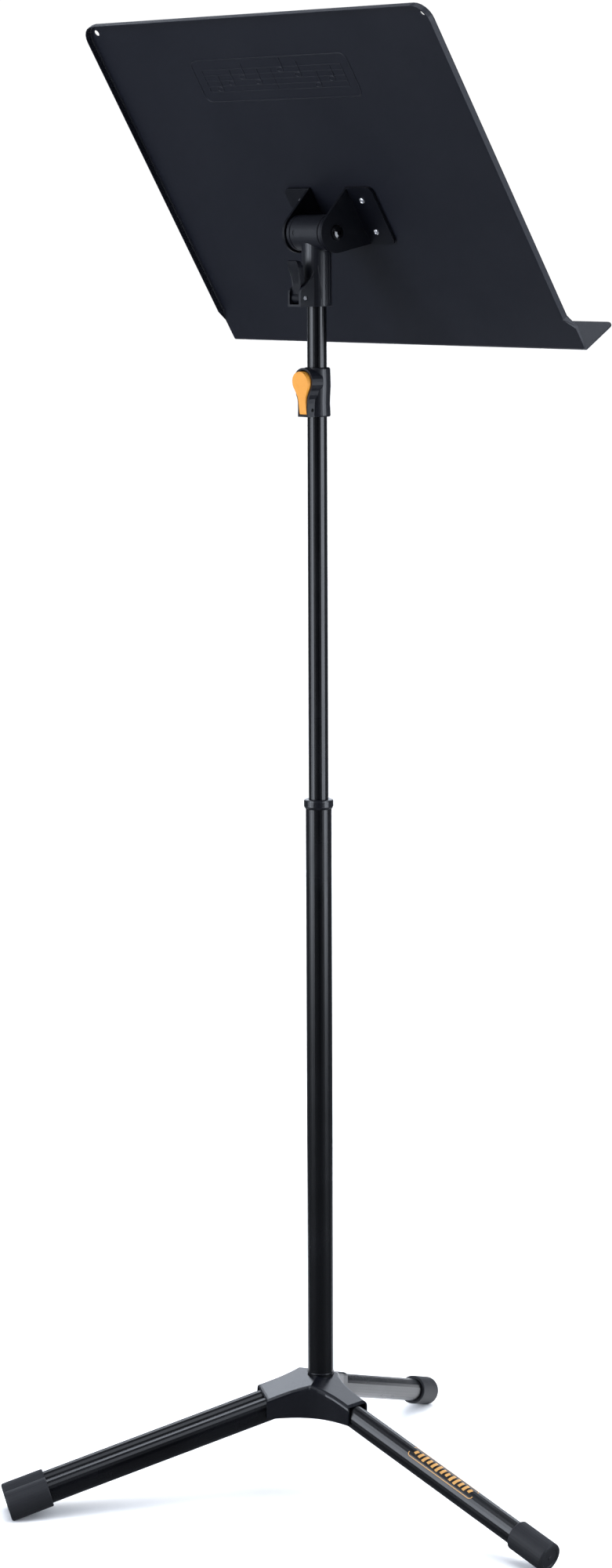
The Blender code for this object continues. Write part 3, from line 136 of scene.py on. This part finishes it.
# %% A material that is built node by node
class Finish:
    """One material, with its Principled shader."""

    def __init__(self, name, **sockets):
        self.material = bpy.data.materials.new(name)
        self.material.use_nodes = True
        self.nodes = self.material.node_tree.nodes
        self.links = self.material.node_tree.links
        self.shader = self.nodes["Principled BSDF"]
        for socket, value in sockets.items():
            self.shader.inputs[socket.replace("_", " ")].default_value = value

    def node(self, kind, settings=None, inputs=None, output=0):
        """Adds a node: first its settings, then the values or links of its sockets."""
        made = self.nodes.new(kind)
        for setting, value in (settings or {}).items():
            if setting == "stops":
                for stop, (place, level_of_stop) in zip(made.color_ramp.elements, value):
                    stop.position = place
                    stop.color = (level_of_stop, level_of_stop, level_of_stop, 1.0)
            else:
                setattr(made, setting, value)
        for socket, value in (inputs or {}).items():
            if isinstance(value, Value):
                self.links.new(value.socket, made.inputs[socket])
            else:
                made.inputs[socket].default_value = value
        return Value(self, made.outputs[output])

    def wear(self, socket, value):
        self.links.new(value.socket, self.shader.inputs[socket])

    def noise(self, scale, detail=2.0, stretch=(1.0, 1.0, 1.0)):
        """Cloudy noise in the piece's own metres, from 0 to 1. A scale of 1000 has grains of about 1 mm."""
        place = self.node("ShaderNodeTexCoord", output="Object")
        place = self.node("ShaderNodeMapping", inputs={"Vector": place, "Scale": stretch})
        return self.node("ShaderNodeTexNoise", inputs={"Vector": place, "Scale": scale, "Detail": detail})

    def sharpen(self, value, low, high):
        """Black below low, white above high, a ramp between."""
        return self.node("ShaderNodeValToRGB", {"stops": ((low, 0.0), (high, 1.0))}, {"Fac": value})

    def tint(self, share, dark, light):
        """A colour between dark and light."""
        blend = {0: share, 6: (*dark, 1.0), 7: (*light, 1.0)}
        return self.node("ShaderNodeMix", {"data_type": "RGBA"}, blend, output=2)

    def roughen(self, height, strength, depth):
        """A small relief, as a Bump node."""
        relief = {"Height": height, "Strength": strength, "Distance": depth}
        self.wear("Normal", self.node("ShaderNodeBump", inputs=relief))


print("the classes Value and Finish are ready")

# %% [markdown]
# ## Powder coat
# The desk and its brackets are steel sheet with a baked powder coat. The powder melts into a skin of
# very small hills, called orange peel, so the black looks deep but never mirrors. Two noises, one of a
# millimetre and one wide and cloudy, give the hills and the slight unevenness of the gun's passes.

# %% Make the powder coat
def dusty_black(name, dark, light, rough, spread, grain, depth, gloss, cloud=9.0):
    """A black finish with cloudy colour, uneven gloss and a grain of small hills."""
    finish = Finish(name, Specular_IOR_Level=gloss)
    clouds = finish.noise(cloud, 3.0)
    specks = finish.noise(grain, 2.0)
    finish.wear("Base Color", finish.tint(clouds * 0.7 + specks * 0.3, dark, light))
    finish.wear("Roughness", rough + spread * (clouds + specks - 1.0))
    finish.roughen(specks, 0.35, depth)
    return finish.material


FINISHES = {
    "powder_coat": dusty_black(
        "powder_coat", dark=(0.0026, 0.0032, 0.0062), light=(0.0052, 0.0060, 0.0102),
        rough=0.42, spread=0.10, grain=1500.0, depth=0.00012, gloss=0.26),
    # The brackets take a darker, glossier copy of the same powder coat: painted shade that keeps them darker
    # than the desk.
    "bracket_painted_shade_coat": dusty_black(
        "bracket_painted_shade_coat", dark=(0.0010, 0.0013, 0.0028), light=(0.0026, 0.0030, 0.0052),
        rough=0.34, spread=0.08, grain=1500.0, depth=0.00010, gloss=0.26),
}
print("made", list(FINISHES))

# %% [markdown]
# ## Stove enamel on the tubes
# The post and the legs are sprayed with a smooth black enamel. Its gloss is nearly even, with faint long
# waves from the tube-drawing bench that run along the metal, and a few rubbed patches from hands.

# %% Make the enamel
def enamel():
    finish = Finish("gloss_paint", Specular_IOR_Level=0.40)
    waves = finish.noise(60.0, 2.0)
    rubbed = finish.sharpen(finish.noise(14.0, 4.0), 0.45, 0.75)
    finish.wear("Base Color", finish.tint(rubbed, (0.0006, 0.0007, 0.0012), (0.0016, 0.0018, 0.0028)))
    finish.wear("Roughness", 0.22 + 0.05 * waves + 0.06 * rubbed)
    finish.roughen(waves, 0.05, 0.0004)
    return finish.material


FINISHES["gloss_paint"] = enamel()
print("made", list(FINISHES)[-1])

# %% [markdown]
# ## Moulded plastics and rubber
# The hub, the grip and the head are glass-filled nylon from a spark-eroded mould, which leaves a very
# fine grain. The rubber of the feet is duller, with grey bloom. They share one recipe with different
# gloss and grain.

# %% Make the plastics
FINISHES["black_plastic"] = dusty_black(
    "black_plastic", dark=(0.0018, 0.0021, 0.0036), light=(0.0038, 0.0042, 0.0062),
    rough=0.26, spread=0.06, grain=2600.0, depth=0.00005, gloss=0.42, cloud=30.0)
FINISHES["satin_plastic"] = dusty_black(
    "satin_plastic", dark=(0.0024, 0.0028, 0.0048), light=(0.0048, 0.0054, 0.0082),
    rough=0.34, spread=0.08, grain=2300.0, depth=0.00007, gloss=0.38, cloud=30.0)
FINISHES["cap_rubber"] = dusty_black(
    "cap_rubber", dark=(0.0045, 0.0048, 0.0064), light=(0.0095, 0.0100, 0.0125),
    rough=0.58, spread=0.10, grain=1700.0, depth=0.00016, gloss=0.30, cloud=45.0)
FINISHES["black_steel"] = dusty_black(
    "black_steel", dark=(0.0008, 0.0008, 0.0010), light=(0.0018, 0.0018, 0.0022),
    rough=0.11, spread=0.03, grain=900.0, depth=0.00003, gloss=0.60, cloud=60.0)


def coloured_plastic(name, dark, light, rough, gloss):
    finish = Finish(name, Specular_IOR_Level=gloss)
    flow = finish.noise(95.0, 3.0, (1.0, 1.0, 0.45))
    grain = finish.noise(2400.0, 2.0)
    finish.wear("Base Color", finish.tint(flow * 0.8 + grain * 0.2, dark, light))
    finish.wear("Roughness", rough + 0.10 * flow)
    finish.roughen(grain, 0.30, 0.00006)
    return finish.material


FINISHES["trigger_yellow"] = coloured_plastic(
    "trigger_yellow", dark=(0.475, 0.190, 0.020), light=(0.540, 0.232, 0.030), rough=0.42, gloss=0.32)
FINISHES["nylon"] = coloured_plastic(
    "nylon", dark=(0.60, 0.58, 0.52), light=(0.74, 0.72, 0.66), rough=0.42, gloss=0.45)
FINISHES["gold_print"] = coloured_plastic(
    "gold_print", dark=(0.34, 0.17, 0.045), light=(0.44, 0.24, 0.070), rough=0.32, gloss=0.4)
print("made", sorted(FINISHES))

# %% [markdown]
# ## Plated steel
# Pins, rivets and the hidden works are zinc-plated steel. Plating is bright, but each piece was turned
# or drawn first, so it keeps fine lines. The noise is stretched along the piece, which turns its grains
# into those lines.

# %% Make the plated steel
def plated():
    finish = Finish("bright_steel", Metallic=1.0)
    lines = finish.noise(900.0, 3.0, (0.08, 1.0, 1.0))
    patina = finish.noise(160.0, 3.0)
    finish.wear("Base Color", finish.tint(patina, (0.50, 0.50, 0.51), (0.74, 0.74, 0.76)))
    finish.wear("Roughness", 0.17 + 0.14 * lines + 0.06 * patina)
    finish.roughen(lines, 0.25, 0.00004)
    return finish.material


FINISHES["bright_steel"] = plated()
print("made bright_steel")

# %% [markdown]
# ## Every piece takes its finish
# The record says which finish each piece has, so one loop dresses them all.

# %% Dress the pieces
for subpart in frame["record"]["subparts"]:
    piece = NODES[subpart["node"]]
    piece.data.materials.clear()
    piece.data.materials.append(FINISHES[subpart["material_slot"]])
# The brackets and the trigger pin then get darker finishes than the record lists: painted shade on the
# brackets, and a black pin painted as the shade of the hole it sits in.
PAINTED_SHADE_FINISH = {"bracket_left": "bracket_painted_shade_coat", "bracket_right": "bracket_painted_shade_coat", "trigger_pin": "black_steel"}
for name, finish in PAINTED_SHADE_FINISH.items():
    NODES[name].data.materials[0] = FINISHES[finish]

# %% [markdown]
# ## A bead along a line
# Pressed frames, grip ribs, moulded ridges and a ring of sealant are all one shape: a low rounded bead
# that follows a line over a surface. A curve with a bevel would sink half of itself below the surface.
# Here a small outline is carried along the line instead, standing on the surface's own normal, so the
# bead stays shallow.

# %% Carry an outline along a line
ROUND_BEAD = [(-1.0, 0.0), (-0.86, 0.55), (-0.45, 0.92), (0.0, 1.0),
              (0.45, 0.92), (0.86, 0.55), (1.0, 0.0)]
FLAT_BEAD = [(-1.0, 0.0), (-0.97, 1.0), (0.97, 1.0), (1.0, 0.0)]


def bead(form, line, normals, width, height, closed=False, outline=ROUND_BEAD, sink=0.00006):
    """Adds a bead of that width and height to a mesh, along a line of points that each have a normal."""
    rings = []
    count = len(line)
    for index, (point, normal) in enumerate(zip(line, normals)):
        after = line[(index + 1) % count] if closed or index < count - 1 else point
        before = line[index - 1] if closed or index > 0 else point
        along = (after - before).normalized()
        sideways = normal.cross(along).normalized() * (width / 2)
        rings.append([form.verts.new(point + sideways * a + normal * (b * height if b else -sink))
                      for a, b in outline])
    pairs = list(zip(rings, rings[1:] + rings[:1])) if closed else list(zip(rings, rings[1:]))
    for near, far in pairs:
        for corner in range(len(outline)):
            following = (corner + 1) % len(outline)
            form.faces.new((near[corner], near[following], far[following], far[corner]))
    if not closed:
        form.faces.new(rings[0])
        form.faces.new(list(reversed(rings[-1])))


def keep_piece(form, name, body, finish):
    """Turns a finished mesh into a piece that rides on a body."""
    bmesh.ops.recalc_face_normals(form, faces=form.faces)
    for face in form.faces:
        face.smooth = True
    for edge in form.edges:
        edge.smooth = len(edge.link_faces) != 2 or edge.calc_face_angle(0.0) < math.radians(50.0)
    mesh = bpy.data.meshes.new(name)
    form.to_mesh(mesh)
    form.free()
    mesh.materials.append(FINISHES[finish])
    piece = bpy.data.objects.new(name, mesh)
    SCENE.collection.objects.link(piece)
    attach(piece, body)
    print(name, "has", len(mesh.polygons), "faces")
    return piece


def rounded(low, high, radius, steps=5):
    """Points round a rectangle with rounded corners."""
    points = []
    corners = ((high[0] - radius, high[1] - radius), (low[0] + radius, high[1] - radius),
               (low[0] + radius, low[1] + radius), (high[0] - radius, low[1] + radius))
    for quarter, (x, y) in enumerate(corners):
        for step in range(steps + 1):
            angle = math.radians(90.0 * (quarter + step / steps))
            points.append((x + radius * math.cos(angle), y + radius * math.sin(angle)))
    return points


# %% [markdown]
# ## The pressed frame on the desk's back
# Makers press their mark into the desk. This one has a plain music staff with notes instead, inside the
# usual rounded frame. The pressing is shallow, half a millimetre, and painted with the desk, so only its
# edges catch light. Its plane comes from the largest face of the desk.

# %% Feel for a surface
def touch(node, start, direction):
    """Where a ray meets a piece, and the normal there."""
    hit, place, normal, _ = NODES[node].ray_cast(start, direction)
    if not hit:
        raise RuntimeError(f"no surface of {node} from {tuple(start)}")
    return place, normal


# %% Press the frame
def largest_face(node):
    return max(NODES[node].data.polygons, key=lambda face: face.area)


sheet = largest_face("desk_panel")
OUT = sheet.normal.copy()
if OUT.y < 0:
    OUT.negate()
UP = Vector((1.0, 0.0, 0.0)).cross(OUT).normalized()
if UP.z < 0:
    UP.negate()
desk_back = (touch("desk_panel", PIVOT + UP * 0.15 + OUT * 0.10, -OUT)[0] - PIVOT).dot(OUT)
print("the desk leans", round(math.degrees(math.asin(-OUT.z)), 2), "degrees")
print("its back is", round(desk_back, 4), "m from the bolt")


def on_desk(x, up):
    """A point on the desk's back, from the tilt bolt."""
    return PIVOT + Vector((x, 0.0, 0.0)) + UP * up + OUT * desk_back


FRAME_LOW = (-108.0 * MM, 129.0 * MM)
FRAME_HIGH = (116.0 * MM, 176.0 * MM)
form = bmesh.new()


def press(points, width, height, closed=False):
    line = [on_desk(x, up) for x, up in points]
    bead(form, line, [OUT] * len(line), width, height, closed)


FRAME_CORNER = 8.0 * MM
FRAME_LINE = (1.5 * MM, 0.50 * MM)     # width and height of the bead
STAFF_LINE = (1.0 * MM, 0.36 * MM)
NOTE_LINE = (1.4 * MM, 0.50 * MM)
press(rounded(FRAME_LOW, FRAME_HIGH, FRAME_CORNER), *FRAME_LINE, True)
STAFF_LEFT, STAFF_RIGHT = FRAME_LOW[0] + 12 * MM, FRAME_HIGH[0] - 12 * MM
STAFF_FOOT = FRAME_LOW[1] + 11 * MM
STAFF_STEP = 6.2 * MM
for rank in range(5):
    height_on_desk = STAFF_FOOT + rank * STAFF_STEP
    press([(STAFF_LEFT, height_on_desk), (STAFF_RIGHT, height_on_desk)], *STAFF_LINE)
for x in (STAFF_LEFT, (STAFF_LEFT + STAFF_RIGHT) / 2, STAFF_RIGHT):
    press([(x, STAFF_FOOT), (x, STAFF_FOOT + 4 * STAFF_STEP)], *STAFF_LINE)
NOTES = [(0.08, 1), (0.18, 2), (0.28, 3), (0.38, 2), (0.57, 4), (0.68, 3), (0.79, 1), (0.90, 2)]
NOTE_HALF = (4.0 * MM, 2.7 * MM)
STEM_ASIDE, STEM_HEIGHT = 4.2 * MM, 14.5 * MM
for share, rank in NOTES:
    x = STAFF_RIGHT + (STAFF_LEFT - STAFF_RIGHT) * share
    up = STAFF_FOOT + (rank - 0.5) * STAFF_STEP
    oval = [(x + NOTE_HALF[0] * math.cos(step * math.pi / 8),
             up + NOTE_HALF[1] * math.sin(step * math.pi / 8))
            for step in range(16)]
    press(oval, *NOTE_LINE, True)
    press([(x - STEM_ASIDE, up), (x - STEM_ASIDE, up + STEM_HEIGHT)], *NOTE_LINE)
keep_piece(form, "desk_pressing", "desk", "powder_coat")

# %% [markdown]
# ## The gold print on the leg
# A gold transfer runs along one leg. On the real stand it carries a mark; here it is a plain outline
# round a row of rising and falling bars. Print has almost no thickness, so each line is a flat bead bent
# round the tube.

# %% Print the leg
LEG_TURN = math.radians(184.0)
LEG_PITCH = math.asin(93.2 / 311.8)
LEG_ASIDE = -10.0 * MM
TUBE_R = 11.0 * MM
crossing = Vector((POST.x, POST.y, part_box("lower_tube")[0].z - 9.4 * MM))
leg_along = Vector((math.cos(LEG_TURN) * math.cos(LEG_PITCH), math.sin(LEG_TURN) * math.cos(LEG_PITCH),
                    -math.sin(LEG_PITCH)))
leg_side = Vector((-math.sin(LEG_TURN), math.cos(LEG_TURN), 0.0))
leg_up = leg_along.cross(leg_side)
if leg_up.z < 0:
    leg_up.negate()
PRINT_TURN = math.radians(-16.0)


def round_leg(along, around):
    """A point on the leg and its normal: along from the hub, around from the print's middle, in metres."""
    angle = PRINT_TURN + around / TUBE_R
    normal = leg_up * math.cos(angle) + leg_side * math.sin(angle)
    return crossing + leg_side * LEG_ASIDE + leg_along * along + normal * TUBE_R, normal


form = bmesh.new()


def print_line(points, width, closed=False):
    line, normals = zip(*(round_leg(along, around) for along, around in points))
    bead(form, list(line), list(normals), width, 0.10 * MM, closed, FLAT_BEAD, 0.02 * MM)


PRINT_LOW, PRINT_HIGH = (134.0 * MM, -7.0 * MM), (216.0 * MM, 7.0 * MM)
print_line(rounded(PRINT_LOW, PRINT_HIGH, 3.0 * MM, 4), 0.8 * MM, True)
BAR_FIRST, BAR_STEP, BAR_WIDTH, BAR_SLANT = 5.6 * MM, 5.8 * MM, 3.2 * MM, 1.2 * MM
BAR_HEIGHTS = [4.4, 6.6, 8.6, 6.0, 7.6, 9.2, 6.8, 5.2, 8.2, 9.0, 6.4, 7.8, 5.0]
for index, bar in enumerate(BAR_HEIGHTS):
    along = PRINT_LOW[0] + BAR_FIRST + index * BAR_STEP
    steps = [(along + BAR_SLANT * share, bar * MM * (share - 0.5)) for share in (0.0, 0.25, 0.5, 0.75, 1.0)]
    print_line(steps, BAR_WIDTH)
keep_piece(form, "leg_print", "base", "gold_print")

# %% [markdown]
# ## Grip ribs on the lever
# The quick-release lever has ribs for the thumb. Where its surface is comes from casting rays at the
# lever, so the ribs sit on it wherever its curve goes.

# %% Add the ribs
HEAD_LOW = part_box("tilt_head")[0].z
LEVER_X = middle("quick_release_lever").x
form = bmesh.new()
INWARD = Vector((0.0, -1.0, 0.0))
FAR_OUT = POST.y + 0.08
RIB_HALF = 4.0 * MM
RIM_LINE = ((20.5, 4.3), (25.0, 4.9), (30.0, 5.8), (35.0, 6.6), (40.0, 6.7))
for index in range(7):
    height = HEAD_LOW + (23.0 + 1.75 * index) * MM
    line, normals = [], []
    for share in (-1.0, -0.6, 0.0, 0.6, 1.0):
        start = Vector((LEVER_X + share * RIB_HALF, FAR_OUT, height))
        place, normal = touch("quick_release_lever", start, INWARD)
        line.append(place)
        normals.append(normal)
    bead(form, line, normals, 0.9 * MM, 0.34 * MM)
for side in (-1.0, 1.0):
    line, normals = [], []
    for rise, half in RIM_LINE:
        start = Vector((LEVER_X + side * half * MM, FAR_OUT, HEAD_LOW + rise * MM))
        place, normal = touch("quick_release_lever", start, INWARD)
        line.append(place)
        normals.append(normal)
    bead(form, line, normals, 0.7 * MM, 0.25 * MM)
keep_piece(form, "lever_ribs", "lever", "black_plastic")

# %% [markdown]
# ## Moulding ridges on the head
# A mould for the head opens along the stem and leaves fine upright ridges on its side. The cheeks of the
# fork carry a raised edge that runs up into the stem, and a short rib stiffens it.

# %% Add the ridges
STEM_R = 14.6 * MM
form = bmesh.new()


def on_stem(turn, height):
    normal = Vector((math.cos(turn), math.sin(turn), 0.0))
    return Vector((POST.x, POST.y, height)) + normal * STEM_R, normal


STEM_RIDGES = ((196.0, 2.0, 50.0), (184.0, 2.0, 48.0), (172.0, 2.0, 50.0),
               (356.0, 2.0, 48.0), (8.0, 2.0, 50.0))
for turn, low, high in STEM_RIDGES:
    line, normals = zip(*(on_stem(math.radians(turn), HEAD_LOW + height * MM) for height in (low, high)))
    bead(form, list(line), list(normals), 0.9 * MM, 0.30 * MM)
for foot_turn, top_turn in ((158.0, 143.0), (22.0, 37.0)):
    line, normals = zip(*(on_stem(math.radians(foot_turn + (top_turn - foot_turn) * share),
                                  HEAD_LOW + (8.0 + 32.0 * share) * MM)
                          for share in (0.0, 0.2, 0.4, 0.6, 0.8, 1.0)))
    bead(form, list(line), list(normals), 1.1 * MM, 0.40 * MM)
CHEEK_HALF = 8.9 * MM
CHEEK_EDGE = [(29.1, 1.0), (29.1, 13.0), (28.4, 15.8), (26.4, 18.0),
              (20.6, 22.1), (16.0, 26.9), (14.0, 30.0), (11.9, 34.0)]
for side in (-1.0, 1.0):
    normal = Vector((side, 0.0, 0.0))
    line = [Vector((POST.x + side * CHEEK_HALF, POST.y + out * MM, HEAD_LOW + up * MM))
            for out, up in CHEEK_EDGE]
    bead(form, line, [normal] * len(line), 0.9 * MM, 0.28 * MM)
keep_piece(form, "head_ridges", "head", "satin_plastic")

# %% Ring the post's foot
form = bmesh.new()
RING_R = 12.5 * MM
ring_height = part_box("hub_shell")[1].z + 1.2 * MM
circle = [Vector((math.cos(step * math.pi / 24), math.sin(step * math.pi / 24), 0.0)) for step in range(48)]
ring_line = [Vector((POST.x, POST.y, ring_height)) + normal * RING_R for normal in circle]
bead(form, ring_line, circle, 1.3 * MM, 0.45 * MM, True)
keep_piece(form, "post_ring", "base", "black_plastic")

# %% [markdown]
# ## Soft studio light
# Black paint shows nothing but what it reflects. Product photographers stand long white boxes beside a
# black object, so that each becomes one upright streak on a tube, and a black card where the camera is,
# so that the middle of the tube stays dark. The paper floor and the surround are pale, but they are kept
# out of the reflections, which a photographer does by working on a stand well above a dark floor. Only a
# small pale sheet behind the post is left in them, which the rear leg picks up.

# %% Lay the floor and stand the surround
def flat_disc(name, radius, height, sides, centre):
    form = bmesh.new()
    turns = [step * math.tau / sides for step in range(sides)]
    corners = [(centre.x + radius * math.cos(turn), centre.y + radius * math.sin(turn), height)
               for turn in turns]
    form.faces.new([form.verts.new(corner) for corner in corners])
    mesh = bpy.data.meshes.new(name)
    form.to_mesh(mesh)
    form.free()
    made = bpy.data.objects.new(name, mesh)
    SCENE.collection.objects.link(made)
    return made


paper = Finish("seamless_paper", Specular_IOR_Level=0.1)
fibres = paper.noise(400.0, 3.0)
paper.wear("Base Color", paper.tint(fibres, (0.90, 0.90, 0.905), (0.94, 0.94, 0.945)))
paper.wear("Roughness", 0.85 + 0.1 * fibres)
studio_floor = flat_disc("studio_floor", 40.0, -0.0002, 64, POST)
studio_floor.data.materials.append(paper.material)
studio_floor.visible_glossy = False

surround_form = bmesh.new()
bmesh.ops.create_uvsphere(surround_form, u_segments=48, v_segments=24, radius=45.0)
surround_mesh = bpy.data.meshes.new("studio_surround")
surround_form.to_mesh(surround_mesh)
surround_form.free()
studio_surround = bpy.data.objects.new("studio_surround", surround_mesh)
SCENE.collection.objects.link(studio_surround)
glow = Finish("white_surround", Base_Color=(0.0, 0.0, 0.0, 1.0), Specular_IOR_Level=0.0,
              Emission_Color=(1.0, 1.0, 1.0, 1.0), Emission_Strength=1.05)
surround_mesh.materials.append(glow.material)
for sight in ("visible_diffuse", "visible_glossy", "visible_shadow", "visible_transmission"):
    setattr(studio_surround, sight, False)

# %% Set the room's glow
ROOM_TONE = (0.80, 0.87, 1.0, 1.0)
ROOM_GLOW = 0.20
world = bpy.data.worlds.new("studio")
SCENE.world = world
world.use_nodes = True
world.node_tree.nodes["Background"].inputs["Color"].default_value = ROOM_TONE
world.node_tree.nodes["Background"].inputs["Strength"].default_value = ROOM_GLOW


# %% Stand the boxes and the black card
def softbox(name, place, aim, width, height, power, tone=(0.84, 0.90, 1.0)):
    lamp_data = bpy.data.lights.new(name, "AREA")
    lamp_data.shape = "RECTANGLE"
    lamp_data.size = width
    lamp_data.size_y = height
    lamp_data.energy = power
    lamp_data.color = tone
    lamp = bpy.data.objects.new(name, lamp_data)
    SCENE.collection.objects.link(lamp)
    lamp.visible_camera = False
    lamp.location = place
    lamp.rotation_euler = (Vector(aim) - Vector(place)).to_track_quat("-Z", "Y").to_euler()
    return lamp


def from_post(turn, distance, height):
    """A place round the post: turn is from the camera's side, to the picture's right when positive."""
    toward = Matrix.Rotation(math.radians(turn), 3, "Z") @ (-LOOK)
    return Vector((POST.x, POST.y, height)) + toward * distance


softbox("left_box", from_post(-66.0, 2.2, 1.35), from_post(0.0, 0.0, 1.35), width=1.5, height=2.5, power=75.0)
softbox("right_box", from_post(62.0, 2.2, 1.35), from_post(0.0, 0.0, 1.35), width=1.3, height=2.5, power=75.0)
softbox("back_box", from_post(180.0, 3.2, 2.1), from_post(0.0, 0.0, 0.6), width=3.2, height=2.4, power=60.0)
softbox("top_box", from_post(0.0, 0.4, 3.6), from_post(0.0, 0.0, 0.5), width=2.6, height=2.6, power=50.0)
sun_data = bpy.data.lights.new("ceiling", "SUN")
sun_data.energy = 3.3
sun_data.angle = math.radians(70.0)
sun = bpy.data.objects.new("ceiling", sun_data)
SCENE.collection.objects.link(sun)
sun.visible_glossy = False
sun.rotation_euler = (math.radians(12.0), math.radians(-8.0), 0.0)

bounce_sheet = flat_disc("bounce_sheet", 0.62, 0.0002, 48, from_post(180.0, 0.75, 0.0))
bounce_sheet.data.materials.append(paper.material)
for sight in ("visible_camera", "visible_diffuse", "visible_shadow"):
    setattr(bounce_sheet, sight, False)

card_form = bmesh.new()
card_middle = from_post(0.0, 1.7, 0.95)
CARD_HALF = (0.34, 0.95)
card_corners = [card_middle + ACROSS * a * CARD_HALF[0] + Vector((0.0, 0.0, b * CARD_HALF[1]))
                for a, b in ((-1, -1), (1, -1), (1, 1), (-1, 1))]
card_form.faces.new([card_form.verts.new(corner) for corner in card_corners])
card_mesh = bpy.data.meshes.new("black_card")
card_form.to_mesh(card_mesh)
card_form.free()
black_card = bpy.data.objects.new("black_card", card_mesh)
SCENE.collection.objects.link(black_card)
card_black = Finish("black_card", Base_Color=(0.0, 0.0, 0.0, 1.0), Roughness=1.0, Specular_IOR_Level=0.0)
card_mesh.materials.append(card_black.material)
for sight in ("visible_camera", "visible_diffuse", "visible_shadow"):
    setattr(black_card, sight, False)
